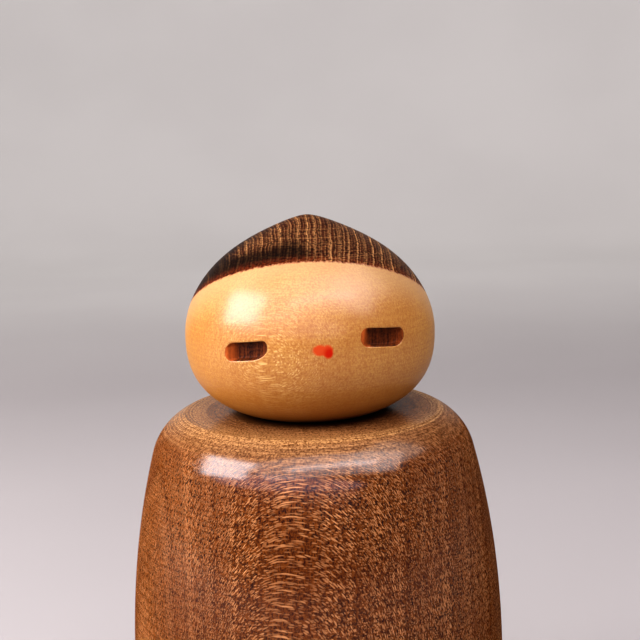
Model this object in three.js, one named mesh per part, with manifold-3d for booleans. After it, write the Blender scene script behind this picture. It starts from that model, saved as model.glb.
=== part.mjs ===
// A turned wooden kokeshi doll: a broad body, and a round head that turns on a pin in the neck.
// Millimetres, +Z up. The origin is the centre of the base, and the face looks along -Y.

import * as THREE from 'three';
import { mergeVertices } from 'three/addons/utils/BufferGeometryUtils.js';
import Module from 'manifold-3d';

const { degToRad, lerp } = THREE.MathUtils;
const QUARTER_TURN = Math.PI / 2;

// Body: a barrel with a flat top, a rounded shoulder and a flat base.
const BODY_HEIGHT = 110;
const BELLY_RADIUS = 44.3;
const BELLY_DROP = 65.1; // from the top face down to the widest ring
const TOP_FACE_RADIUS = 29.9;
const SHOULDER_RADIUS = 13.6; // of the arc that the shoulder follows
const SHOULDER_SLOPE = degToRad(23); // how steeply the shoulder leaves the top face
const SIDE_LEAN = degToRad(15); // how far the side leans in where it meets the shoulder
const FOOT_EDGE = 2; // radius of the rounded edge at the base

// Head: a ball, flatter underneath, that rises to a low point at the crown.
const HEAD_RADIUS = 29;
const HEAD_LIFT = 18.5; // from the body's top face up to the head's widest ring
const CROWN_RISE = 24.7;
const CROWN_POWER = 1.92; // 2 is a true ellipse
const POINT_RISE = 2.3;
const POINT_SPREAD = 8.6;
const CHIN_DROP = 20.1;
const CHIN_POWER = 2.5;

// Eyes: two hand-carved hollows, each with a long ramp at one end and a steep wall at the other.
// An eye's height is above the head's widest ring, and its azimuth is from the face's middle.
const EYE_HEIGHT = 3.8;
const EYE_CORNER = 1.5;
const EYE_DEPTH = 2;
const EYE_RAMP = 2.5;
const EYE_STEEP_END = 0.7;
const EYES = [
  { azimuth: degToRad(-31.4), height: 0, length: 10.6, tilt: degToRad(6) },
  { azimuth: degToRad(30.6), height: 2.05, length: 11.2, tilt: degToRad(-5.5) },
];

// Neck pin: fixed in the head, and free to turn in the body.
const PIN_RADIUS = 6;
const PIN_CHAMFER = 1;
const PIN_IN_HEAD = 14;
const PIN_IN_BODY = 20;
const PIN_GAP = 0.2; // round the pin
const END_GAP = 0.3; // beyond each end of the pin, and between the head and its seat

const BODY_SEGMENTS = 72;
const HEAD_SEGMENTS = 72;
const PIN_SEGMENTS = 48;

const HEAD_Z = BODY_HEIGHT + HEAD_LIFT; // the head's widest ring
const BORE_RADIUS = PIN_RADIUS + PIN_GAP;

const wasm = await Module();
wasm.setup();

/** Profile points, as radius and height, at count equal steps of t from 0 to 1. */
function sample(count, pointAt) {
  const steps = Array.from({ length: count + 1 }, (_, i) => i / count);
  return steps.map((t) => new THREE.Vector2(...pointAt(t)));
}

/** A profile turned round the Z axis. It starts and ends on the axis, and goes up the outside. */
function turned(profile, segments) {
  const geometry = new THREE.LatheGeometry(profile, segments);
  geometry.rotateX(QUARTER_TURN);
  return geometry;
}

/** A closed geometry as a solid that can be cut. */
function toSolid(geometry) {
  const bare = geometry.clone();
  bare.deleteAttribute('normal');
  bare.deleteAttribute('uv');
  const merged = mergeVertices(bare);
  const vertProperties = new Float32Array(merged.attributes.position.array);
  const triVerts = new Uint32Array(merged.index.array);
  return new wasm.Manifold(new wasm.Mesh({ numProp: 3, vertProperties, triVerts }));
}

/** A cut solid as a geometry. */
function toGeometry(solid) {
  const mesh = solid.getMesh();
  const geometry = new THREE.BufferGeometry();
  geometry.setAttribute('position', new THREE.BufferAttribute(mesh.vertProperties, 3));
  geometry.setIndex(new THREE.BufferAttribute(mesh.triVerts, 1));
  geometry.computeVertexNormals();
  return geometry;
}

/** Depth of the head's underside below its widest ring, at a radius. */
function chinDepth(radius) {
  return CHIN_DROP * (1 - (radius / HEAD_RADIUS) ** CHIN_POWER) ** (1 / CHIN_POWER);
}

/** Radius of the head's underside, at a depth below its widest ring. */
function chinRadius(depth) {
  return HEAD_RADIUS * (1 - (depth / CHIN_DROP) ** CHIN_POWER) ** (1 / CHIN_POWER);
}

/** Underside of the head, from the socket's mouth out to the widest ring. */
function chinProfile() {
  const start = Math.asin((BORE_RADIUS / HEAD_RADIUS) ** (CHIN_POWER / 2));
  return sample(14, (t) => {
    const angle = lerp(start, QUARTER_TURN, t);
    const radius = HEAD_RADIUS * Math.sin(angle) ** (2 / CHIN_POWER);
    return [radius, -CHIN_DROP * Math.abs(Math.cos(angle)) ** (2 / CHIN_POWER)];
  });
}

/** Crown of the head, from the widest ring up to the point. */
function crownProfile() {
  return sample(18, (t) => {
    const angle = t * QUARTER_TURN;
    const radius = t < 1 ? HEAD_RADIUS * Math.cos(angle) ** (2 / CROWN_POWER) : 0;
    const dome = CROWN_RISE * Math.sin(angle) ** (2 / CROWN_POWER);
    return [radius, dome + POINT_RISE * Math.exp(-((radius / POINT_SPREAD) ** 1.5))];
  });
}

/** Side of the body, from the foot's rounded edge up to where the shoulder begins. */
function sideProfile(shoulderRadius, shoulderZ) {
  const bellyZ = BODY_HEIGHT - BELLY_DROP;
  const rise = shoulderZ - bellyZ;
  const narrowing = BELLY_RADIUS - shoulderRadius;
  const power = (rise * Math.tan(SIDE_LEAN)) / narrowing;
  const radiusAt = (z) => BELLY_RADIUS - narrowing * Math.abs((z - bellyZ) / rise) ** power;
  const foot = sample(4, (t) => {
    const angle = t * QUARTER_TURN;
    const inset = FOOT_EDGE * (1 - Math.sin(angle));
    return [radiusAt(FOOT_EDGE) - inset, FOOT_EDGE * (1 - Math.cos(angle))];
  });
  const side = sample(16, (t) => {
    const z = lerp(FOOT_EDGE, shoulderZ, t);
    return [radiusAt(z), z];
  });
  return [...foot, ...side.slice(1)];
}

/** Shoulder, an arc from the side up to the top face. */
function shoulderProfile() {
  return sample(8, (t) => {
    const slope = lerp(QUARTER_TURN - SIDE_LEAN, SHOULDER_SLOPE, t);
    return [
      TOP_FACE_RADIUS + SHOULDER_RADIUS * (Math.sin(slope) - Math.sin(SHOULDER_SLOPE)),
      BODY_HEIGHT - SHOULDER_RADIUS * (Math.cos(SHOULDER_SLOPE) - Math.cos(slope)),
    ];
  });
}

/** The dished seat for the head, from its rim on the top face in to the bore. */
function seatProfile() {
  const rim = chinRadius(HEAD_LIFT + END_GAP);
  return sample(6, (t) => {
    const radius = lerp(rim, BORE_RADIUS, t);
    return [radius, HEAD_Z - chinDepth(radius) - END_GAP];
  });
}

/** The body: a barrel with a seat and a blind bore in its top. */
function bodyGeometry() {
  const boreFloor = HEAD_Z - CHIN_DROP - PIN_IN_BODY - END_GAP;
  const shoulder = shoulderProfile();
  const profile = [
    new THREE.Vector2(0, 0),
    ...sideProfile(shoulder[0].x, shoulder[0].y),
    ...shoulder.slice(1),
    ...seatProfile(),
    new THREE.Vector2(BORE_RADIUS, boreFloor),
    new THREE.Vector2(0, boreFloor),
  ];
  return turned(profile, BODY_SEGMENTS);
}

/** The head before its eyes are cut, with its origin at the centre of its widest ring. */
function headBlank() {
  const socketEnd = PIN_IN_HEAD + END_GAP - CHIN_DROP;
  const profile = [
    new THREE.Vector2(0, socketEnd),
    new THREE.Vector2(BORE_RADIUS, socketEnd),
    ...chinProfile(),
    ...crownProfile().slice(1),
  ];
  return turned(profile, HEAD_SEGMENTS);
}

/** Rounded outline of an eye, seen from in front, cut straight into the head. */
function eyeOutline(length, cutIn, cutOut) {
  const x = length / 2 - EYE_CORNER;
  const y = EYE_HEIGHT / 2 - EYE_CORNER;
  const outline = new THREE.Shape();
  outline.absarc(x, y, EYE_CORNER, 0, QUARTER_TURN);
  outline.absarc(-x, y, EYE_CORNER, QUARTER_TURN, 2 * QUARTER_TURN);
  outline.absarc(-x, -y, EYE_CORNER, 2 * QUARTER_TURN, 3 * QUARTER_TURN);
  outline.absarc(x, -y, EYE_CORNER, 3 * QUARTER_TURN, 4 * QUARTER_TURN);
  const geometry = new THREE.ExtrudeGeometry(outline, {
    depth: cutIn + cutOut,
    bevelEnabled: false,
    curveSegments: 5,
  });
  geometry.translate(0, 0, -cutIn);
  return geometry;
}

/** Ramp, floor and steep end of an eye, seen from above, cut right across the slot. */
function eyeFloor(length, cutOut) {
  const end = length / 2;
  const across = EYE_HEIGHT + 2;
  const plan = new THREE.Shape();
  plan.moveTo(-end, cutOut);
  plan.lineTo(-end, 0);
  plan.lineTo(EYE_RAMP - end, -EYE_DEPTH);
  plan.lineTo(end - EYE_STEEP_END, -EYE_DEPTH);
  plan.lineTo(end, 0);
  plan.lineTo(end, cutOut);
  const geometry = new THREE.ExtrudeGeometry(plan, { depth: across, bevelEnabled: false });
  geometry.rotateX(QUARTER_TURN);
  geometry.translate(0, across / 2, 0);
  return geometry;
}

/** What one eye takes out of the head. Its own X runs along the slot and its Z out of the head. */
function eyeCutter({ azimuth, height, length, tilt }) {
  const clear = 1; // how far the cut reaches past the head's surface, and past the floor
  const out = new THREE.Vector3(Math.sin(azimuth), -Math.cos(azimuth), 0);
  const along = new THREE.Vector3(Math.cos(azimuth), Math.sin(azimuth), 0);
  const up = new THREE.Vector3(0, 0, 1);
  const placed = new THREE.Matrix4().makeBasis(along, up, out);
  placed.setPosition(out.x * HEAD_RADIUS, out.y * HEAD_RADIUS, height);
  placed.multiply(new THREE.Matrix4().makeRotationZ(tilt));
  const outline = eyeOutline(length, EYE_DEPTH + clear, clear).applyMatrix4(placed);
  const floor = eyeFloor(length, 2 * clear).applyMatrix4(placed);
  return toSolid(outline).intersect(toSolid(floor));
}

/** The head, with its two eyes carved in. */
function headGeometry() {
  const carved = EYES.reduce((solid, eye) => solid.subtract(eyeCutter(eye)), toSolid(headBlank()));
  return toGeometry(carved);
}

/** The neck pin, a chamfered dowel that stands on its own origin. */
function pinGeometry() {
  const length = PIN_IN_HEAD + PIN_IN_BODY;
  const profile = [
    [0, 0],
    [PIN_RADIUS - PIN_CHAMFER, 0],
    [PIN_RADIUS, PIN_CHAMFER],
    [PIN_RADIUS, length - PIN_CHAMFER],
    [PIN_RADIUS - PIN_CHAMFER, length],
    [0, length],
  ];
  return turned(profile.map(([r, z]) => new THREE.Vector2(r, z)), PIN_SEGMENTS);
}

/** A named piece of the doll in one wood. */
function piece(name, geometry, color, roughness) {
  const material = new THREE.MeshStandardMaterial({ color, roughness, metalness: 0 });
  const mesh = new THREE.Mesh(geometry, material);
  mesh.name = name;
  return mesh;
}

const doll = new THREE.Group();
doll.add(piece('body', bodyGeometry(), 0x8c5230, 0.38));

const turningHead = new THREE.Group();
turningHead.position.z = HEAD_Z;
turningHead.add(piece('head', headGeometry(), 0xd9a066, 0.34));

const pin = piece('neck_dowel', pinGeometry(), 0xcfae7e, 0.7);
pin.position.z = -CHIN_DROP - PIN_IN_BODY;
turningHead.add(pin);
doll.add(turningHead);

export default doll;
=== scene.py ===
import math

import bmesh
import bpy
from mathutils import Matrix, Quaternion, Vector


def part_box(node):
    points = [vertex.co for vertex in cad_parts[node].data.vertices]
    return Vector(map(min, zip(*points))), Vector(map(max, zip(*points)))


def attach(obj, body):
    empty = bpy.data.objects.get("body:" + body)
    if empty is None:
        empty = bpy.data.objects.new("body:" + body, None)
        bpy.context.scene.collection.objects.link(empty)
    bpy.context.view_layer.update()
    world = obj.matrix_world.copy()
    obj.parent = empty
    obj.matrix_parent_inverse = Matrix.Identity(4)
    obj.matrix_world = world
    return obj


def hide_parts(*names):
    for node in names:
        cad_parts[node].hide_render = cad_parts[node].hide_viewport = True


# A turned wooden kokeshi doll. Millimetres in this script, and metres in Blender.
# +Z is up, the face looks along -Y, and an azimuth goes from -Y towards +X.

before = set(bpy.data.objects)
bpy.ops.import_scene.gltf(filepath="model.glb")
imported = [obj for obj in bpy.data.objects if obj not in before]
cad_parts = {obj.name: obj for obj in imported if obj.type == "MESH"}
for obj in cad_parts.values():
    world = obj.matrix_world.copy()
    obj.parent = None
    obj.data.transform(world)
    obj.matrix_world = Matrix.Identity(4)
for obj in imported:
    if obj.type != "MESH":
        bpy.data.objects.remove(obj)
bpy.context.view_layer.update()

MM = 0.001
BODY_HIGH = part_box("body")[1] / MM
HEAD_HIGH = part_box("head")[1] / MM

# Body profile
BODY_HEIGHT = BODY_HIGH.z
BELLY_RADIUS = BODY_HIGH.x
BELLY_DROP = 65.1
TOP_FACE_RADIUS = 29.9
TOP_EDGE_FILLET = 0.8
SHOULDER_RADIUS = 13.6
SHOULDER_SLOPE = math.radians(23)
SIDE_LEAN = math.radians(15)
FOOT_EDGE = 2.0
BASE_INSET = 8.0

# Head profile
HEAD_RADIUS = HEAD_HIGH.x
HEAD_Z = BODY_HEIGHT + 18.5
CROWN_RISE = 24.7
CROWN_POWER = 1.92
POINT_SPREAD = 8.6
POINT_POWER = 1.5
POINT_RISE = HEAD_HIGH.z - HEAD_Z - CROWN_RISE
CHIN_DROP = 20.1
CHIN_POWER = 2.5

# Neck
BORE_RADIUS = 6.2
SOCKET_DEPTH = 14.3
BORE_DEPTH = 20.3
SEAT_GAP = 0.3

# Eyes. Heights are above the head's widest ring. Each rounded corner is a quarter of an ellipse,
# given by its width and height, and the corners go round from the upper right.
EYES = [
    dict(
        azimuth=-31.4, height=0.0, length=10.6, tilt=6.0,
        corners=((1.1, 1.0), (2.6, 2.1), (1.7, 1.5), (4.3, 2.5)),
    ),
    dict(
        azimuth=30.6, height=2.05, length=11.2, tilt=-5.5,
        corners=((1.3, 1.3), (1.8, 1.7), (1.8, 1.6), (2.7, 2.4)),
    ),
]
EYE_HEIGHT = 3.8
EYE_DEPTH = 2.0
EYE_RAMP = 2.5
EYE_STEEP_END = 0.7
EYE_SOFTNESS = 0.08
LIP = 0.38
FLOOR_FILLET = 0.35
FLOOR_INSETS = (0.6, 0.85, 1.1, 1.3)
WALL_DRAFT = 0.12

# The part of the head's grid that an eye's own rings of faces stand for
WINDOW_HALF_ANGLE = 15.0
WINDOW_HALF_HEIGHT = 4.2

# Faces round a full turn, and the angle in degrees past which an edge stays crisp
HEAD_COLUMNS = 432
BODY_COLUMNS = 288
STUDIO_COLUMNS = 96
HEAD_CRISP = 50
BODY_CRISP = 40

# Hairline: a slanting plane, with its height above the head's widest ring on the axis. The fringe
# lies above it, and a painted sheen on the brow below it.
HAIRLINE_HEIGHT = 7.02
HAIRLINE_SLOPE = 0.582
HAIRLINE_AZIMUTH = math.radians(-1.3)
HAIR_RAGGED = 1.6
HAIR_FRINGE_DEPTH = 3.0
BROW_SHEEN_DEPTH = 12.0
HAIR_RINGS = 1.9
HAIR_FINE_RINGS = 0.7

# Mouth: lobes of paint, along the face from its middle and above the head's widest ring, with the
# two radii of each
MOUTH_LOBES = [
    dict(centre=(0.7, 0.45), size=(1.55, 1.15)),
    dict(centre=(2.35, 0.1), size=(1.2, 1.42)),
]
MOUTH_DEEP_LOBE = dict(centre=(2.7, -0.3), size=(1.1, 1.2), soft=0.6)
MOUTH_WOBBLE = 0.5

# Wear, painted light on the top face, a painted shadow round the head and painted shade on the chin, as
# radii on the top face, depths below it, and depths below the head's ring
PAINTED_TOP_LIGHT_FROM = 20.0
PAINTED_SHADOW_OUTER = 21.5
PAINTED_SHADOW_INNER = 15.5
TOP_FACE_DEPTH = 5.5
HANDLED_HIGH = 12.0
HANDLED_LOW = 48.0
CHIN_SHADE_HIGH = 2.0
CHIN_SHADE_LOW = 14.0

# Spacing of the growth rings and of the lathe's lines
BODY_RINGS = 3.4
BODY_MARKS = 0.45
HEAD_MARKS = 0.4

# Where the middle of the tree lay from each piece's axis
BODY_PITH = (-70.0, -27.9)
HEAD_PITH = (-57.4, -7.0)
DOWEL_PITH = (-30.0, 12.0)

# Rays of the wood: how strongly each kind shows, and the cell that each of its plates has, as a
# length out from the pith, a spacing round it and a height. size is the plate's share of its cell.
# RAY_START puts a plate across the middle of the body's figure, and RAY_SHIFT keeps the kinds apart.
BODY_RAYS = [
    (1.0, dict(length=10.5, spacing=0.16, height=2.4, size=0.33)),
    (0.8, dict(length=5.0, spacing=0.14, height=1.1, size=0.4)),
    (0.6, dict(length=2.5, spacing=0.2, height=0.55, size=0.42)),
]
HEAD_RAYS = [
    (0.85, dict(length=7.0, spacing=0.14, height=1.3, size=0.34)),
    (0.9, dict(length=4.0, spacing=0.13, height=0.8, size=0.38)),
    (0.6, dict(length=2.5, spacing=0.2, height=0.55, size=0.42)),
]
DOWEL_RAYS = dict(length=2.0, spacing=0.3, height=1.2, size=0.5, shift=0.0)
RAY_START = 0.5
RAY_SHIFT = 3.7
RAY_DISORDER = 0.7

# The place on the cheek that the head's rays are boldest round, and how far from it they fade
FIGURE_SPOT = (-14.0, -38.0, HEAD_Z - 8.0)
FIGURE_NEAR = 3.0
FIGURE_FAR = 27.0
FIGURE_REST = 0.2

# Finish: how much lacquer there is and how rough it is
BODY_COAT = 0.9
BODY_COAT_ROUGHNESS = 0.16
HEAD_COAT = 0.68
HEAD_COAT_ROUGHNESS = 0.24
HEAD_SPECULAR = 0.2
MATTE_COAT = 0.05
MATTE_SPECULAR = 0.03

# Colours of the body
STAIN_DARK = 0x1C0701
STAIN_LIGHT = 0x723D14
STAIN_RAY = 0xC68A56
STAIN_RING = 0x2A0C03
STAIN_PATCH = 0x461A05
STAIN_MARK = 0x200A02
# Painted shadow: near black, where the head shades the top face
PAINTED_SHADOW_COLOUR = 0x0A0301
# Pale wood where the stain wears thin, also painted light on the top face
WORN_AND_LIT_DARK = 0x5A3412
WORN_AND_LIT_LIGHT = 0xCC9C64
WORN_AND_LIT_MARK = 0x44200A

# Colours of the head
SKIN_DARK = 0x9C652A
SKIN_LIGHT = 0xB4843E
SKIN_FIGURED = 0x8A5722
SKIN_RAY = 0xE6C27A
SKIN_PATCH = 0x965C24
SKIN_MARK = 0x824C1A
# Painted shade and warm bounce light towards the chin
SKIN_CHIN_SHADE = 0x9C601E
# Painted sheen: a paler, greyer band below the hairline
SKIN_BROW_SHEEN = 0xB4946C
SKIN_SCORCHED = 0x722A10
HAIR_BLACK = 0x060201
HAIR_BROWN = 0x341106
HAIR_FRINGE = 0x4E1C08
HAIR_LINE = 0xCC965E
MOUTH_PALE = 0xB4421C
MOUTH_DEEP = 0xA81C08
HOLLOW_DARK = 0x130402
# The browner colour is also painted light on the eyes' shallow ends
HOLLOW_LIGHT = 0xAC541E

# Colours of the neck pin and the studio
BEECH_DARK = 0xB98E5C
BEECH_LIGHT = 0xD9B98A
BEECH_RAY = 0xA87846
PAPER_DARK = 0x9C9896
PAPER_LIGHT = 0x9F9B99
ROOM_TINT = 0xE6E4E2

# Studio, and how bright the room is at the horizon and overhead
STUDIO_FLOOR = 1300
STUDIO_SWEEP = 700
STUDIO_WALL = 900
ROOM_LOW = 0.08
ROOM_HIGH = 0.45

# Lights: soft boxes that face one place on the doll from an azimuth and elevation in degrees, with
# their distance and size in metres
LIGHTS = dict(
    window=dict(place=(-76, 34), distance=0.8, size=(0.48, 0.4), radiance=13.2, tint=0xFFF8FC),
    side=dict(place=(-84, 10), distance=0.85, size=(0.8, 0.5), radiance=3.5, tint=0xFFF8F0),
    sheen=dict(place=(72, 52), distance=0.9, size=(0.8, 0.55), radiance=1.9, tint=0xFFF6F0),
    strip=dict(place=(15, 56), distance=0.8, size=(0.8, 0.12), radiance=6.2, tint=0xFFF4F6),
    ceiling=dict(place=(12, 58), distance=0.9, size=(1.7, 0.66), radiance=3.0, tint=0xFCF8FF),
    front=dict(place=(-22, 25), distance=0.95, size=(2.3, 0.45), radiance=1.55, tint=0xE8DAFF),
    backdrop=dict(place=(180, 40), distance=1.2, size=(2.0, 0.5), radiance=5.2, tint=0xFFFFFF),
)
LIGHTS_AIM = Vector((0, 0, HEAD_Z - 10)) * MM
WINDOW_ROLL = math.radians(20)
BACKDROP_FACING = Vector((0, -1, 0.45))

# Camera: angles in degrees
CAMERA_PLACE = Vector((-12.0, -274.7, HEAD_Z + 46.85))
CAMERA_HEADING = 3.0
CAMERA_PITCH = -9.21
CAMERA_ROLL = 1.554
CAMERA_LENS = 67.16
CAMERA_SENSOR = 36


def lerp(a, b, t):
    return a + (b - a) * t


def steps(count):
    """Numbers from 0 to 1 in count equal steps."""
    return [i / count for i in range(count + 1)]


def new_object(name, vertices, faces):
    """A smooth mesh object from points in mm, with its faces turned outwards."""
    mesh = bpy.data.meshes.new(name)
    mesh.from_pydata([tuple(c * MM for c in v) for v in vertices], [], faces)
    work = bmesh.new()
    work.from_mesh(mesh)
    bmesh.ops.recalc_face_normals(work, faces=work.faces)
    work.to_mesh(mesh)
    work.free()
    mesh.polygons.foreach_set("use_smooth", [True] * len(mesh.polygons))
    made = bpy.data.objects.new(name, mesh)
    bpy.context.scene.collection.objects.link(made)
    return made


def sharpen(piece, angle):
    """Edges that turn by more than angle, in degrees, stay crisp."""
    piece.data.set_sharp_from_angle(angle=math.radians(angle))


# Profiles

def chin_depth(radius):
    """Depth of the head's underside below its widest ring, at a radius."""
    return CHIN_DROP * (1 - (radius / HEAD_RADIUS) ** CHIN_POWER) ** (1 / CHIN_POWER)


def head_radius(z):
    """Radius of the head at a height above its widest ring, away from the crown's point."""
    size, power = (CROWN_RISE, CROWN_POWER) if z > 0 else (CHIN_DROP, CHIN_POWER)
    return HEAD_RADIUS * (1 - abs(z / size) ** power) ** (1 / power)


def chin_profile():
    """From the socket's edge out to the head's widest ring."""
    start = math.asin((BORE_RADIUS / HEAD_RADIUS) ** (CHIN_POWER / 2))
    points = []
    for t in steps(56):
        angle = lerp(start, math.pi / 2, t)
        drop = CHIN_DROP * abs(math.cos(angle)) ** (2 / CHIN_POWER)
        points.append((HEAD_RADIUS * math.sin(angle) ** (2 / CHIN_POWER), -drop))
    return points


def crown_profile():
    """From the head's widest ring up to the crown's low point."""
    points = []
    for t in steps(90):
        angle = t * math.pi / 2
        radius = HEAD_RADIUS * math.cos(angle) ** (2 / CROWN_POWER) if t < 1 else 0.0
        dome = CROWN_RISE * math.sin(angle) ** (2 / CROWN_POWER)
        point = POINT_RISE * math.exp(-((radius / POINT_SPREAD) ** POINT_POWER))
        points.append((radius, dome + point))
    return points


def head_profile():
    """From the socket's end out round the chin and up to the crown's point, from the head's ring."""
    end = SOCKET_DEPTH - CHIN_DROP
    chin = chin_profile()
    socket = [(BORE_RADIUS, lerp(end, chin[0][1], t)) for t in steps(8)]
    return [(0, end), (BORE_RADIUS / 2, end)] + socket[:-1] + chin + crown_profile()[1:]


def side_profile(shoulder_radius, shoulder_z):
    """Side of the body, from the foot's rounded edge up to where the shoulder begins."""
    belly_z = BODY_HEIGHT - BELLY_DROP
    rise = shoulder_z - belly_z
    narrowing = BELLY_RADIUS - shoulder_radius
    power = rise * math.tan(SIDE_LEAN) / narrowing

    def radius_at(z):
        return BELLY_RADIUS - narrowing * abs((z - belly_z) / rise) ** power

    foot = []
    for t in steps(8):
        angle = t * math.pi / 2
        radius = radius_at(FOOT_EDGE) - FOOT_EDGE * (1 - math.sin(angle))
        foot.append((radius, FOOT_EDGE * (1 - math.cos(angle))))
    heights = [lerp(FOOT_EDGE, shoulder_z, t) for t in steps(72)]
    return foot + [(radius_at(z), z) for z in heights[1:]]


def shoulder_profile():
    """The round shoulder, from the side up to the top face."""
    points = []
    for t in steps(32):
        slope = lerp(math.pi / 2 - SIDE_LEAN, SHOULDER_SLOPE, t)
        points.append((
            TOP_FACE_RADIUS + SHOULDER_RADIUS * (math.sin(slope) - math.sin(SHOULDER_SLOPE)),
            BODY_HEIGHT - SHOULDER_RADIUS * (math.cos(SHOULDER_SLOPE) - math.cos(slope)),
        ))
    return points


def top_edge_profile():
    """The eased edge between the shoulder and the top face."""
    inset = TOP_EDGE_FILLET * math.tan(SHOULDER_SLOPE / 2)
    points = []
    for t in steps(5):
        slope = lerp(SHOULDER_SLOPE, 0, t)
        points.append((
            TOP_FACE_RADIUS - inset + TOP_EDGE_FILLET * math.sin(slope),
            BODY_HEIGHT - TOP_EDGE_FILLET * (1 - math.cos(slope)),
        ))
    return points


def seat_profile():
    """The dished seat for the head, from its rim on the top face in to the bore."""
    depth = BODY_HEIGHT - HEAD_Z + SEAT_GAP
    rim = HEAD_RADIUS * (1 - (-depth / CHIN_DROP) ** CHIN_POWER) ** (1 / CHIN_POWER)
    radii = [lerp(rim, BORE_RADIUS, t) for t in steps(20)]
    return [(r, HEAD_Z - chin_depth(r) - SEAT_GAP) for r in radii]


def body_profile():
    """From the middle of the base out, up the side, over the shoulder and seat, and down the bore."""
    bore_floor = HEAD_Z - CHIN_DROP - BORE_DEPTH
    shoulder = shoulder_profile()
    seat = seat_profile()
    edge = top_edge_profile()
    flat = [(lerp(edge[-1][0], seat[0][0], t), BODY_HEIGHT) for t in steps(12)]
    base = [(0, 0)] + [(t * (BELLY_RADIUS - BASE_INSET), 0) for t in steps(12)[1:]]
    bore = [(BORE_RADIUS, lerp(seat[-1][1], bore_floor, t)) for t in steps(8)]
    return (
        base + side_profile(*shoulder[0]) + shoulder[1:-1] + edge + flat[1:]
        + seat[1:] + bore[1:] + [(0, bore_floor)]
    )


# Meshes

def turned(profile, columns, skip=()):
    """Points, faces and rows of point numbers of a profile turned round Z. skip holds the (row, column)
    cells that are left open."""
    vertices = []
    rows = []
    for radius, z in profile:
        if radius == 0:
            rows.append([len(vertices)] * columns)
            vertices.append((0, 0, z))
            continue
        rows.append(list(range(len(vertices), len(vertices) + columns)))
        for column in range(columns):
            angle = 2 * math.pi * column / columns
            vertices.append((radius * math.sin(angle), -radius * math.cos(angle), z))
    faces = []
    for row in range(len(profile) - 1):
        for column in range(columns):
            if (row, column) in skip:
                continue
            after = (column + 1) % columns
            corners = [rows[row][column], rows[row][after], rows[row + 1][after], rows[row + 1][column]]
            faces.append(list(dict.fromkeys(corners)))
    return vertices, faces, rows


def slot_outline(length, height, corners, count):
    """Points evenly spaced round a slot with four rounded corners, anticlockwise from the middle of
    the straight part of its right end."""
    a, b = length / 2, height / 2
    start = Vector((a, (corners[3][1] - corners[0][1]) / 2))
    path = [start]
    signs = [(1, 1), (-1, 1), (-1, -1), (1, -1)]
    for quarter, ((sx, sy), (wide, tall)) in enumerate(zip(signs, corners)):
        centre = Vector((sx * (a - wide), sy * (b - tall)))
        for t in steps(24):
            angle = (quarter + t) * math.pi / 2
            path.append(centre + Vector((wide * math.cos(angle), tall * math.sin(angle))))
    path.append(start)
    lengths = [0.0]
    for before, after in zip(path, path[1:]):
        lengths.append(lengths[-1] + (after - before).length)
    points = []
    at = 0
    for i in range(count):
        wanted = lengths[-1] * i / count
        while lengths[at + 1] < wanted:
            at += 1
        share = (wanted - lengths[at]) / (lengths[at + 1] - lengths[at])
        points.append(path[at].lerp(path[at + 1], share))
    return points


def outward(points):
    """Unit normals of a closed outline that runs anticlockwise."""
    normals = []
    for i in range(len(points)):
        along = points[(i + 1) % len(points)] - points[i - 1]
        normals.append(Vector((along.y, -along.x)).normalized())
    return normals


class Eye:
    """One carved hollow. Its own x runs along the slot, y up it, and depth goes into the head."""

    def __init__(self, azimuth, height, length, tilt, corners):
        self.azimuth = math.radians(azimuth)
        self.height = height
        self.length = length
        self.corners = corners
        self.turn = Matrix.Rotation(math.radians(tilt), 2)

    def floor(self, x):
        """Height of the hollow's floor above the plane that touches the head's widest ring."""
        end = self.length / 2
        ramp = -EYE_DEPTH * (x + end) / EYE_RAMP
        steep = -EYE_DEPTH * (end - x) / EYE_STEEP_END
        return max(-EYE_DEPTH, ramp, steep)

    def surface(self, point):
        """Height of the head's surface above that plane."""
        x, y = self.turn @ point
        return math.sqrt(head_radius(self.height + y) ** 2 - x * x) - HEAD_RADIUS

    def depth(self, point):
        """Depth of the hollow under the head's surface, easing to nothing where its ramp comes out."""
        deep = self.surface(point) - self.floor(point.x)
        return (deep + math.hypot(deep, EYE_SOFTNESS)) / 2

    def place(self, point, depth):
        """A point of the slot's plane, at a depth under the head's surface, from the head's ring."""
        x, y = self.turn @ point
        out = HEAD_RADIUS + self.surface(point) - depth
        sin, cos = math.sin(self.azimuth), math.cos(self.azimuth)
        return (x * cos + out * sin, x * sin - out * cos, self.height + y)

    def flat(self, vertex):
        """The slot's plane at a point of the head."""
        x, y, z = vertex
        across = x * math.cos(self.azimuth) + y * math.sin(self.azimuth)
        return self.turn.inverted() @ Vector((across, z - self.height))


def eye_window(eye, profile):
    """Rows and columns of the head's grid that the eye's own rings of faces stand for."""
    rows = [
        row for row, (radius, z) in enumerate(profile)
        if radius > HEAD_RADIUS / 2 and abs(z - eye.height) < WINDOW_HALF_HEIGHT
    ]
    middle = round(math.degrees(eye.azimuth) / 360 * HEAD_COLUMNS)
    half = round(WINDOW_HALF_ANGLE / 360 * HEAD_COLUMNS)
    return rows[0], rows[-1], middle - half, middle + half


def window_loop(rows, window):
    """The grid's points round a window, anticlockwise from the middle of its right side."""
    low, high, left, right = window
    wrap = HEAD_COLUMNS
    middle = (low + high) // 2
    loop = [rows[r][right % wrap] for r in range(middle, high)]
    loop += [rows[high][c % wrap] for c in range(right, left, -1)]
    loop += [rows[r][left % wrap] for r in range(high, low, -1)]
    loop += [rows[low][c % wrap] for c in range(left, right)]
    loop += [rows[r][right % wrap] for r in range(low, middle)]
    return loop


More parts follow.
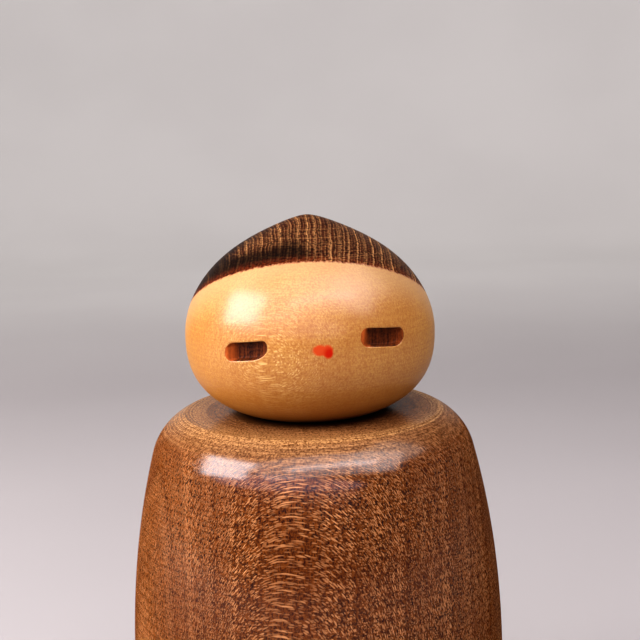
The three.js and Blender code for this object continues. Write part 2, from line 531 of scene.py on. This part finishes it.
def hollow_rings(eye, outline, normals):
    """The rings of points from the slot's lip down its wall and in over its floor."""
    rings = []

    def ring(offset_at, depth_at):
        points = []
        for point, normal in zip(outline, normals):
            deep = eye.depth(point)
            moved = point + normal * offset_at(deep)
            points.append(eye.place(moved, depth_at(deep, moved)))
        rings.append(points)

    for t in steps(4):
        angle = t * math.pi / 2
        ring(
            lambda deep: LIP * (1 - math.sin(angle)),
            lambda deep, moved: min(LIP, deep / 2) * (1 - math.cos(angle)),
        )
    for t in steps(4)[1:]:
        ring(
            lambda deep: -WALL_DRAFT * deep * t,
            lambda deep, moved: lerp(min(LIP, deep / 2), max(deep - FLOOR_FILLET, deep / 2), t),
        )
    for t in steps(3)[1:]:
        angle = t * math.pi / 2
        ring(
            lambda deep: -WALL_DRAFT * deep - FLOOR_FILLET * (1 - math.cos(angle)),
            lambda deep, moved: lerp(max(deep - FLOOR_FILLET, deep / 2), eye.depth(moved), math.sin(angle)),
        )
    for inset in FLOOR_INSETS:
        ring(
            lambda deep: -WALL_DRAFT * deep - inset,
            lambda deep, moved: eye.depth(moved),
        )
    return rings


def add_eye(eye, vertices, faces, hollow, loop):
    """Joins an eye's rings to the window's loop. hollow collects the faces inside the lip."""
    count = len(loop)
    outline = slot_outline(eye.length, EYE_HEIGHT, eye.corners, count)
    normals = outward(outline)
    edge = [eye.flat(vertices[i]) for i in loop]
    lip = [point + normal * LIP for point, normal in zip(outline, normals)]
    rings = [loop]

    def add(points):
        rings.append(list(range(len(vertices), len(vertices) + count)))
        vertices.extend(points)

    for t in steps(7)[1:-1]:
        add([eye.place(a.lerp(b, t), 0) for a, b in zip(edge, lip)])
    outside = len(rings)
    for points in hollow_rings(eye, outline, normals):
        add(points)
    for index, (outer, inner) in enumerate(zip(rings, rings[1:])):
        for i in range(count):
            after = (i + 1) % count
            if index > outside + 1:
                hollow.append(len(faces))
            faces.append([outer[i], outer[after], inner[after], inner[i]])
    last = rings[-1]
    for i in range(count // 2):
        hollow.append(len(faces))
        corners = [last[i], last[i + 1], last[(count - i - 1) % count], last[(count - i) % count]]
        faces.append(list(dict.fromkeys(corners)))


def make_head():
    """The turned head, with its eyes let into the grid of faces."""
    profile = head_profile()
    eyes = [Eye(**eye) for eye in EYES]
    windows = [eye_window(eye, profile) for eye in eyes]
    skip = set()
    for low, high, left, right in windows:
        skip.update((r, c % HEAD_COLUMNS) for r in range(low, high) for c in range(left, right))
    vertices, faces, rows = turned(profile, HEAD_COLUMNS, skip)
    hollow = []
    for eye, window in zip(eyes, windows):
        add_eye(eye, vertices, faces, hollow, window_loop(rows, window))
    vertices = [(x, y, z + HEAD_Z) for x, y, z in vertices]
    head = new_object("head_shell", vertices, faces)
    sharpen(head, HEAD_CRISP)
    head.data.materials.append(head_material())
    head.data.materials.append(hollow_material())
    for index in hollow:
        head.data.polygons[index].material_index = 1
    return head


def make_body():
    """The turned body."""
    vertices, faces, _ = turned(body_profile(), BODY_COLUMNS)
    body = new_object("body_shell", vertices, faces)
    sharpen(body, BODY_CRISP)
    body.data.materials.append(body_material())
    return body


# Materials

def colour(code):
    """A hex colour as linear RGBA."""
    parts = [(code >> shift & 255) / 255 for shift in (16, 8, 0)]
    linear = [c / 12.92 if c <= 0.04045 else ((c + 0.055) / 1.055) ** 2.4 for c in parts]
    return (*linear, 1.0)


class Graph:
    """A material's nodes. Its calls take sockets or plain values, and give a socket back."""

    def __init__(self, name):
        self.material = bpy.data.materials.new(name)
        self.material.use_nodes = True
        self.tree = self.material.node_tree
        self.tree.nodes.clear()

    def put(self, socket, value):
        if isinstance(value, bpy.types.NodeSocket):
            self.tree.links.new(value, socket)
        elif value is not None:
            socket.default_value = value

    def node(self, kind, inputs, **settings):
        made = self.tree.nodes.new(kind)
        for key, value in settings.items():
            setattr(made, key, value)
        for key, value in inputs.items():
            self.put(made.inputs[key], value)
        return made

    def math(self, operation, a, b=None, c=None):
        return self.node("ShaderNodeMath", {0: a, 1: b, 2: c}, operation=operation).outputs[0]

    def add(self, a, b):
        return self.math("ADD", a, b)

    def subtract(self, a, b):
        return self.math("SUBTRACT", a, b)

    def times(self, a, b):
        return self.math("MULTIPLY", a, b)

    def vector(self, operation, a, b=None):
        return self.node("ShaderNodeVectorMath", {0: a, 1: b}, operation=operation).outputs[0]

    def scaled(self, vector, *size):
        return self.vector("MULTIPLY", vector, size)

    def dot(self, a, b):
        made = self.node("ShaderNodeVectorMath", {0: a, 1: b}, operation="DOT_PRODUCT")
        return made.outputs["Value"]

    def split(self, vector):
        return self.node("ShaderNodeSeparateXYZ", {0: vector}).outputs[:]

    def join(self, x, y, z):
        return self.node("ShaderNodeCombineXYZ", {0: x, 1: y, 2: z}).outputs[0]

    def length(self, x, y):
        return self.math("SQRT", self.add(self.times(x, x), self.times(y, y)))

    def noise(self, vector, detail=2.0, roughness=0.5, output=0):
        inputs = {"Vector": vector, "Scale": 1.0, "Detail": detail, "Roughness": roughness}
        return self.node("ShaderNodeTexNoise", inputs).outputs[output]

    def ramp(self, value, low, high, to_low=0.0, to_high=1.0):
        """A smooth step from to_low at low to to_high at high."""
        inputs = {0: value, 1: low, 2: high, 3: to_low, 4: to_high}
        made = self.node("ShaderNodeMapRange", inputs, interpolation_type="SMOOTHSTEP")
        return made.outputs[0]

    def mix(self, share, a, b):
        return self.node("ShaderNodeMix", {0: share, 6: a, 7: b}, data_type="RGBA").outputs[2]

    def bump(self, height, strength, distance):
        inputs = {"Height": height, "Strength": strength, "Distance": distance * MM}
        return self.node("ShaderNodeBump", inputs).outputs[0]

    def place(self):
        """The point on the piece, in mm."""
        found = self.node("ShaderNodeTexCoord", {}).outputs["Object"]
        return self.scaled(found, 1 / MM, 1 / MM, 1 / MM)

    def lacquer(self):
        """How thick the lacquer's gloss is: 1 all over, and less where the surface turns away."""
        facing = self.node("ShaderNodeLayerWeight", {"Blend": 0.5}).outputs["Facing"]
        return self.ramp(facing, 0.22, 0.7, 1.0, 0.05)

    def finish(self, **inputs):
        named = {key.replace("_", " "): value for key, value in inputs.items()}
        shader = self.node("ShaderNodeBsdfPrincipled", named)
        self.node("ShaderNodeOutputMaterial", {"Surface": shader.outputs[0]})
        return self.material


class Timber:
    """Where a point lies in the tree that the piece was cut from, in mm."""

    def __init__(self, g, pith, wander, kink):
        self.g = g
        self.point = g.place()
        slow = g.noise(g.scaled(self.point, 0.03, 0.03, 0.02), 1.0, output=1)
        drift = g.scaled(g.vector("SUBTRACT", slow, (0.5, 0.5, 0.5)), wander, wander, wander)
        x, y, self.z = g.split(g.vector("ADD", self.point, drift))
        x = g.subtract(x, pith[0])
        y = g.subtract(y, pith[1])
        self.out = g.length(x, y)
        turn = g.times(g.math("ARCTAN2", y, x), math.hypot(*pith))
        ripple = g.noise(g.scaled(self.point, 0.45, 0.45, 0.5), 1.0)
        self.round = g.math("MULTIPLY_ADD", ripple, 0.12, turn)
        quick = g.noise(g.scaled(self.point, 0.25, 0.25, 0.3), 2.0)
        self.kinked = g.math("MULTIPLY_ADD", quick, kink, self.out)

    def rays(self, length, spacing, height, size, shift):
        """Thin upright plates that run out from the pith: 1 inside them, and each with its own strength."""
        g = self.g
        cell = g.join(
            g.math("MULTIPLY_ADD", self.out, 1 / length, shift),
            g.times(self.round, 1 / spacing),
            g.times(self.z, 1 / height),
        )
        inputs = {"Vector": cell, "Scale": 1.0, "Randomness": RAY_DISORDER}
        found = g.node("ShaderNodeTexVoronoi", inputs)
        inside = g.ramp(found.outputs["Distance"], size, size * 0.5)
        strength = g.split(found.outputs["Color"])[0]
        return g.times(inside, g.math("MULTIPLY_ADD", strength, 0.7, 0.3))

    def figure(self, kinds):
        """The rays that hard maple shows, in a few sizes."""
        g = self.g
        found = 0.0
        for index, (strength, kind) in enumerate(kinds):
            rays = self.rays(shift=RAY_SHIFT * index + RAY_START, **kind)
            found = g.math("MAXIMUM", found, g.times(rays, strength))
        return found

    def fibres(self, across, along, detail):
        """Fine grain, drawn out along the trunk."""
        g = self.g
        place = g.join(g.times(self.out, across), g.times(self.round, across), g.times(self.z, along))
        return g.noise(place, detail)

    def rings(self, spacing, sharpness):
        """Growth rings: rises slowly to 1 at each ring's end, then drops."""
        g = self.g
        uneven = g.noise(g.join(g.times(self.kinked, 0.35 / spacing), 0.0, 0.0), 1.0)
        place = g.math("MULTIPLY_ADD", self.kinked, 1 / spacing, g.times(uneven, 1.6))
        phase = g.math("FRACT", place)
        rise = g.math("POWER", phase, sharpness)
        return g.times(rise, g.ramp(phase, 1.0, 0.93))


def turning_marks(g, point, pitch):
    """Fine lines round the axis, as a lathe tool and sandpaper leave them."""
    x, y, z = g.split(point)
    lines = g.join(g.times(g.length(x, y), 1 / pitch), g.times(z, 1 / pitch), 0.0)
    drift = g.scaled(point, 0.02, 0.02, 0.0)
    return g.noise(g.vector("ADD", lines, drift), 3.0, 0.7)


def body_material():
    """The body: maple in a brown stain under clear lacquer."""
    g = Graph("stained_wood")
    wood = Timber(g, BODY_PITH, wander=1.5, kink=0.8)
    figure = wood.figure(BODY_RAYS)
    speckle = g.noise(g.scaled(wood.point, 2.2, 2.2, 1.7), 2.0, 0.6)
    marks = turning_marks(g, wood.point, BODY_MARKS)
    grain = g.times(g.ramp(wood.fibres(3.0, 0.35, 2.0), 0.35, 0.65), 0.3)
    shade = g.math("MULTIPLY_ADD", g.ramp(speckle, 0.4, 0.6), 0.62, grain)

    worn, painted_shadow, high = top_masks(g, wood.point)
    base = stained_colour(g, wood, shade, figure, marks)
    # Wear, and painted light that makes the top face paler
    base = g.mix(worn, base, worn_and_lit_colour(g, shade, figure, marks))
    # Painted shadow round the head on the top face
    base = g.mix(painted_shadow, base, colour(PAINTED_SHADOW_COLOUR))
    relief = g.add(g.times(figure, 0.4), g.add(g.times(speckle, 0.5), g.times(marks, 0.6)))
    return g.finish(
        Base_Color=base,
        Roughness=g.ramp(speckle, 0.3, 0.7, 0.42, 0.55),
        Specular_IOR_Level=0.0,
        Normal=g.bump(relief, 0.35, 0.08),
        Coat_Weight=g.times(body_gloss(g, wood.point, high), BODY_COAT),
        Coat_Roughness=BODY_COAT_ROUGHNESS,
        Coat_Normal=g.bump(relief, 0.25, 0.03),
    )


def stained_colour(g, wood, shade, figure, marks):
    """Brown stain, with pale rays, darker ring ends, patches and the lathe's lines."""
    patches = g.noise(g.scaled(wood.point, 0.06, 0.06, 0.05), 2.0)
    base = g.mix(shade, colour(STAIN_DARK), colour(STAIN_LIGHT))
    base = g.mix(figure, base, colour(STAIN_RAY))
    base = g.mix(g.times(wood.rings(BODY_RINGS, 3.0), 0.25), base, colour(STAIN_RING))
    base = g.mix(g.ramp(patches, 0.35, 0.7, 0.0, 0.3), base, colour(STAIN_PATCH))
    return g.mix(g.ramp(marks, 0.3, 0.75, 0.15, 0.0), base, colour(STAIN_MARK))


def worn_and_lit_colour(g, shade, figure, marks):
    """The paler wood where the stain is thin, and the painted light on the top face."""
    light = g.add(g.times(shade, 0.8), g.times(figure, 0.3))
    pale = g.mix(light, colour(WORN_AND_LIT_DARK), colour(WORN_AND_LIT_LIGHT))
    return g.mix(g.ramp(marks, 0.42, 0.58, 0.6, 0.0), pale, colour(WORN_AND_LIT_MARK))


def body_gloss(g, point, high):
    """How thick the lacquer is: worn lower down, and full across the shoulder. high is the top face."""
    across, _, height = g.split(point)
    handled = g.ramp(height, BODY_HEIGHT - HANDLED_LOW, BODY_HEIGHT - HANDLED_HIGH, 0.4, 1.0)
    top = g.times(high, g.ramp(across, -20.0, 20.0, 0.65, 0.38))
    return g.math("MAXIMUM", g.times(g.lacquer(), handled), top)


def top_masks(g, point):
    """Where the stain wears thin at the crease and foot, where painted light makes the top face paler away
    from the head and on the left, a painted shadow round the head, and the top face itself.
    """
    x, y, z = g.split(point)
    radius = g.length(x, y)
    high = g.ramp(z, BODY_HEIGHT - TOP_FACE_DEPTH, BODY_HEIGHT - 0.5)
    # Painted light: the top face is paler towards its edge, and painted shade darkens it near the head
    worn = g.times(high, g.ramp(radius, PAINTED_TOP_LIGHT_FROM, TOP_FACE_RADIUS - 1.0, 0.3, 0.8))
    # Painted light from the left: the top face is paler on the left
    worn = g.times(worn, g.ramp(x, -12.0, 28.0, 1.0, 0.45))
    crease = g.ramp(g.math("ABSOLUTE", g.subtract(z, BODY_HEIGHT - 0.2)), 0.7, 0.1)
    crease = g.times(crease, g.ramp(radius, TOP_FACE_RADIUS - 2.5, TOP_FACE_RADIUS - 1.5))
    foot = g.times(g.ramp(z, FOOT_EDGE * 1.2, 0.3), 0.5)
    worn = g.math("MAXIMUM", worn, g.math("MAXIMUM", crease, foot))
    # Painted shadow on the top face round the head
    painted_shadow = g.ramp(z, BODY_HEIGHT - 5.0, BODY_HEIGHT - 0.1)
    painted_shadow = g.times(painted_shadow, g.ramp(radius, PAINTED_SHADOW_OUTER, PAINTED_SHADOW_INNER))
    return worn, painted_shadow, high


def head_material():
    """The head: pale maple under honey lacquer, with scorched hair and a painted mouth."""
    g = Graph("pale_wood")
    wood = Timber(g, HEAD_PITH, wander=1.5, kink=1.0)
    figure = wood.figure(HEAD_RAYS)
    speckle = g.noise(g.scaled(wood.point, 2.4, 2.4, 1.8), 2.0, 0.6)
    marks = turning_marks(g, wood.point, HEAD_MARKS)
    height = g.split(wood.point)[2]
    hair, scorch, fringe, brow_sheen = hair_masks(g, wood)
    paint = mouth_mask(g, wood.point)

    skin = skin_colour(g, wood, speckle, figure, marks)
    # Painted shade and warm bounce light: darker and more orange towards the chin
    chin = g.ramp(height, HEAD_Z - CHIN_SHADE_LOW, HEAD_Z - CHIN_SHADE_HIGH, 0.4, 0.0)
    skin = g.mix(chin, skin, colour(SKIN_CHIN_SHADE))
    # Painted sheen: paler and greyer below the hairline
    skin = g.mix(g.times(brow_sheen, 0.45), skin, colour(SKIN_BROW_SHEEN))
    skin = g.mix(scorch, skin, colour(SKIN_SCORCHED))
    base = g.mix(paint, skin, mouth_colour(g, wood.point))
    base = g.mix(hair, base, hair_colour(g, wood, marks, fringe))

    matte = g.math("MAXIMUM", hair, paint)
    gloss = g.times(g.lacquer(), g.ramp(height, HEAD_Z - 12.0, HEAD_Z + 2.0, 0.4, 1.0))
    relief = g.add(g.times(figure, 0.3), g.add(g.times(speckle, 0.4), g.times(marks, 0.6)))
    return g.finish(
        Base_Color=base,
        Roughness=g.ramp(speckle, 0.3, 0.7, 0.4, 0.5),
        Specular_IOR_Level=g.ramp(matte, 0.0, 1.0, HEAD_SPECULAR, MATTE_SPECULAR),
        Normal=g.bump(relief, 0.3, 0.06),
        Coat_Weight=g.times(gloss, g.ramp(matte, 0.0, 1.0, HEAD_COAT, MATTE_COAT)),
        Coat_Roughness=HEAD_COAT_ROUGHNESS,
        Coat_Normal=g.bump(g.add(marks, g.times(speckle, 0.3)), 0.3, 0.03),
    )


def skin_colour(g, wood, speckle, figure, marks):
    """Honey-coloured wood, whose rays are bold round one spot on the left cheek."""
    away = g.node("ShaderNodeVectorMath", {0: wood.point, 1: FIGURE_SPOT}, operation="DISTANCE")
    bold = g.ramp(away.outputs["Value"], FIGURE_NEAR, FIGURE_FAR, 1.0, FIGURE_REST)
    patches = g.noise(g.scaled(wood.point, 0.07, 0.07, 0.06), 2.0)
    skin = g.mix(g.ramp(speckle, 0.35, 0.65), colour(SKIN_DARK), colour(SKIN_LIGHT))
    skin = g.mix(g.times(bold, 0.35), skin, colour(SKIN_FIGURED))
    skin = g.mix(g.times(figure, bold), skin, colour(SKIN_RAY))
    skin = g.mix(g.ramp(patches, 0.4, 0.7, 0.0, 0.3), skin, colour(SKIN_PATCH))
    return g.mix(g.ramp(marks, 0.4, 0.65, 0.25, 0.0), skin, colour(SKIN_MARK))


def hair_masks(g, wood):
    """The cap above the hairline, the scorch below its ragged edge, its fringe, and a painted sheen on the
    brow.
    """
    forward = (math.sin(HAIRLINE_AZIMUTH), -math.cos(HAIRLINE_AZIMUTH), 0.0)
    ahead = g.dot(wood.point, forward)
    line = g.math("MULTIPLY_ADD", ahead, HAIRLINE_SLOPE, HEAD_Z + HAIRLINE_HEIGHT)
    above = g.subtract(g.split(wood.point)[2], line)
    strands = wood.fibres(1.6, 0.3, 2.0)
    above = g.math("MULTIPLY_ADD", g.subtract(strands, 0.5), HAIR_RAGGED, above)
    hair = g.ramp(above, -0.05, 0.3)
    scorch = g.ramp(above, -0.5, 0.1, 0.0, 0.75)
    fringe = g.ramp(above, HAIR_FRINGE_DEPTH, 0.0)
    # Painted sheen on the brow below the hairline
    brow_sheen = g.ramp(above, -BROW_SHEEN_DEPTH, -1.0)
    return hair, scorch, fringe, brow_sheen


def hair_colour(g, wood, marks, fringe):
    """Charred wood, with paler ring lines that the flame left, woven with the lathe's lines."""
    x, _, z = g.split(wood.point)
    patches = g.noise(g.scaled(wood.point, 0.07, 0.07, 0.1), 1.0)
    worn = g.ramp(g.math("MULTIPLY_ADD", x, 0.018, patches), 0.2, 0.56, 0.12, 1.0)
    worn = g.math("MAXIMUM", worn, g.ramp(z, HEAD_Z + 21.0, HEAD_Z + 26.0, 0.0, 0.7))
    specks = g.noise(g.scaled(wood.point, 1.6, 1.6, 2.4), 1.0)
    specks = g.ramp(specks, 0.3, 0.6, 0.2, 1.0)
    each = g.noise(g.join(g.times(wood.kinked, 0.6), 0.0, g.times(wood.z, 0.06)), 1.0)
    lines = g.add(wood.rings(HAIR_RINGS, 10.0), g.times(wood.rings(HAIR_FINE_RINGS, 4.0), 0.38))
    lines = g.times(lines, g.ramp(each, 0.35, 0.65, 0.45, 1.5))
    weave = g.times(g.ramp(marks, 0.47, 0.62), 0.13)
    light = g.times(g.add(lines, weave), g.times(specks, worn))
    char = g.mix(g.times(specks, worn), colour(HAIR_BLACK), colour(HAIR_BROWN))
    char = g.mix(g.times(fringe, specks), char, colour(HAIR_FRINGE))
    return g.mix(g.math("MINIMUM", light, 1.0), char, colour(HAIR_LINE))


def blob(g, along, up, centre, size, soft=0.28):
    """1 inside an ellipse, with a soft edge."""
    dx = g.times(g.subtract(along, centre[0]), 1 / size[0])
    dy = g.times(g.subtract(up, centre[1]), 1 / size[1])
    return g.ramp(g.length(dx, dy), 1.0 + soft, 1.0 - soft)


def mouth_place(g, point):
    """Distance along the face from its middle, and height above the head's ring, in mm."""
    x, y, z = g.split(point)
    azimuth = g.math("ARCTAN2", x, g.times(y, -1.0))
    return g.times(azimuth, HEAD_RADIUS), g.subtract(z, HEAD_Z)


def mouth_mask(g, point):
    """The two dabs of paint, with an uneven edge."""
    along, up = mouth_place(g, point)
    wobble = g.noise(g.scaled(point, 1.3, 1.3, 1.3), 2.0, output=1)
    wx, wy, _ = g.split(g.vector("SUBTRACT", wobble, (0.5, 0.5, 0.5)))
    along = g.math("MULTIPLY_ADD", wx, MOUTH_WOBBLE, along)
    up = g.math("MULTIPLY_ADD", wy, MOUTH_WOBBLE, up)
    lobes = [blob(g, along, up, **lobe) for lobe in MOUTH_LOBES]
    return g.math("MAXIMUM", *lobes)


def mouth_colour(g, point):
    """Red paint, thicker in the lower part of the right-hand dab."""
    along, up = mouth_place(g, point)
    share = blob(g, along, up, **MOUTH_DEEP_LOBE)
    return g.mix(share, colour(MOUTH_PALE), colour(MOUTH_DEEP))


def hollow_material():
    """The burnt inside of the eyes: blackest in the middle, and browner towards both ends, which is painted
    light on the shallow ends.
    """
    g = Graph("burnt_wood")
    wood = Timber(g, HEAD_PITH, wander=1.5, kink=1.0)
    bands = g.noise(g.join(g.times(wood.out, 2.0), 0.0, g.times(wood.z, 0.08)), 2.0, 0.7)
    speckle = g.noise(g.scaled(wood.point, 2.5, 2.5, 1.8), 2.0)
    spots = g.times(g.ramp(speckle, 0.35, 0.65), 0.12)
    shade = g.math("MULTIPLY_ADD", g.ramp(bands, 0.38, 0.62), 0.18, spots)
    # Painted light on the eyes' shallow ends
    shade = g.add(shade, lit_eye_ends(g, wood.point))
    base = g.mix(shade, colour(HOLLOW_DARK), colour(HOLLOW_LIGHT))
    return g.finish(
        Base_Color=base,
        Roughness=0.6,
        Specular_IOR_Level=0.1,
        Normal=g.bump(speckle, 0.4, 0.08),
    )


def lit_eye_ends(g, point):
    """Painted light: rises from 0 at each eye's middle towards its ends, and most on its ramp, where the
    shallow floor catches the light.
    """
    masks = []
    for eye in EYES:
        azimuth = math.radians(eye["azimuth"])
        along = g.dot(point, (math.cos(azimuth), math.sin(azimuth), 0.0))
        end = eye["length"] / 2
        near = g.ramp(g.math("ABSOLUTE", along), end * 1.2, end * 1.1)
        left = g.ramp(along, -end * 0.4, -end * 0.75, 0.0, 0.55)
        right = g.ramp(along, end * 0.4, end * 0.9, 0.0, 0.15)
        masks.append(g.times(near, g.add(left, right)))
    return g.math("MAXIMUM", *masks)


def dowel_material():
    """Bare beech."""
    g = Graph("bare_wood")
    wood = Timber(g, DOWEL_PITH, wander=1.0, kink=0.3)
    fibres = wood.fibres(4.0, 0.3, 3.0)
    base = g.mix(g.ramp(fibres, 0.3, 0.7), colour(BEECH_DARK), colour(BEECH_LIGHT))
    base = g.mix(g.times(wood.rays(**DOWEL_RAYS), 0.5), base, colour(BEECH_RAY))
    return g.finish(Base_Color=base, Roughness=0.75, Normal=g.bump(fibres, 0.4, 0.1))


# Stage, lights and camera

def direction(azimuth, elevation):
    """The unit vector that points from the doll towards an azimuth and elevation in degrees."""
    a, e = math.radians(azimuth), math.radians(elevation)
    return Vector((math.sin(a) * math.cos(e), -math.cos(a) * math.cos(e), math.sin(e)))


def area_light(name, place, distance, size, radiance, tint):
    """One of the soft boxes. Its power follows from its size and radiance."""
    data = bpy.data.lights.new(name, "AREA")
    data.shape = "RECTANGLE"
    data.size, data.size_y = size
    data.energy = radiance * math.pi * size[0] * size[1]
    data.color = colour(tint)[:3]
    lamp = bpy.data.objects.new(name, data)
    away = direction(*place)
    lamp.location = LIGHTS_AIM + away * distance
    lamp.rotation_mode = "QUATERNION"
    lamp.rotation_quaternion = away.to_track_quat("Z", "Y")
    lamp.visible_camera = False
    bpy.context.scene.collection.objects.link(lamp)
    return lamp


def make_lights():
    """A window on the left, soft boxes above and in front, and one behind that lights the wall. The side
    light gives no reflection, and the sheen is only a reflection."""
    lamps = {name: area_light(name, **light) for name, light in LIGHTS.items()}
    roll = Quaternion((0, 0, 1), WINDOW_ROLL)
    lamps["window"].rotation_quaternion = lamps["window"].rotation_quaternion @ roll
    lamps["side"].visible_glossy = False
    lamps["sheen"].visible_diffuse = False
    lamps["front"].data.shape = "ELLIPSE"
    lamps["backdrop"].rotation_quaternion = BACKDROP_FACING.to_track_quat("Z", "Y")


def make_room():
    """The room's own light, which is brighter overhead than at the horizon."""
    world = bpy.data.worlds.new("room")
    bpy.context.scene.world = world
    world.use_nodes = True
    tree = world.node_tree
    place = tree.nodes.new("ShaderNodeTexCoord")
    height = tree.nodes.new("ShaderNodeSeparateXYZ")
    glow = tree.nodes.new("ShaderNodeMapRange")
    settings = {"From Min": 0.1, "From Max": 0.9, "To Min": ROOM_LOW, "To Max": ROOM_HIGH}
    for key, value in settings.items():
        glow.inputs[key].default_value = value
    tree.links.new(place.outputs["Generated"], height.inputs[0])
    tree.links.new(height.outputs["Z"], glow.inputs["Value"])
    tree.links.new(glow.outputs[0], tree.nodes["Background"].inputs["Strength"])
    tree.nodes["Background"].inputs["Color"].default_value = colour(ROOM_TINT)


def make_stage():
    """A pale studio: a round floor that curves up into a wall."""
    profile = [(lerp(0, STUDIO_FLOOR, t), 0) for t in steps(8)]
    for t in steps(16)[1:]:
        angle = t * math.pi / 2
        radius = STUDIO_FLOOR + STUDIO_SWEEP * math.sin(angle)
        profile.append((radius, STUDIO_SWEEP * (1 - math.cos(angle))))
    profile.append((STUDIO_FLOOR + STUDIO_SWEEP, STUDIO_SWEEP + STUDIO_WALL))
    vertices, faces, _ = turned(profile, STUDIO_COLUMNS)
    studio = new_object("studio_sweep", vertices, faces)
    g = Graph("studio_paper")
    tone = g.noise(g.scaled(g.place(), 0.004, 0.004, 0.004), 2.0)
    paper = g.mix(g.ramp(tone, 0.3, 0.7), colour(PAPER_DARK), colour(PAPER_LIGHT))
    studio.data.materials.append(g.finish(Base_Color=paper, Roughness=0.9))


def make_camera():
    """The photo's own camera: a little to the left of the face and above it, with a slight roll."""
    data = bpy.data.cameras.new("camera")
    data.lens = CAMERA_LENS
    data.sensor_width = CAMERA_SENSOR
    camera = bpy.data.objects.new("camera", data)
    heading, pitch = math.radians(CAMERA_HEADING), math.radians(CAMERA_PITCH)
    forward = Vector((
        math.sin(heading) * math.cos(pitch),
        math.cos(heading) * math.cos(pitch),
        math.sin(pitch),
    ))
    level = forward.to_track_quat("-Z", "Y").to_matrix()
    turned_level = level @ Matrix.Rotation(-math.radians(CAMERA_ROLL), 3, "Z")
    camera.matrix_world = Matrix.Translation(CAMERA_PLACE * MM) @ turned_level.to_4x4()
    bpy.context.scene.collection.objects.link(camera)
    bpy.context.scene.camera = camera


def paint_dowel():
    """The neck pin stays the CAD solid, and takes only a material."""
    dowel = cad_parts["neck_dowel"]
    dowel.data.materials.clear()
    dowel.data.materials.append(dowel_material())


make_camera()
make_stage()
make_lights()
make_room()
bpy.context.scene.view_settings.view_transform = "Standard"
bpy.context.scene.view_settings.look = "Medium High Contrast"

head = make_head()
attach(head, "head")
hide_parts("head")

body = make_body()
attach(body, "body")
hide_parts("body")

paint_dowel()
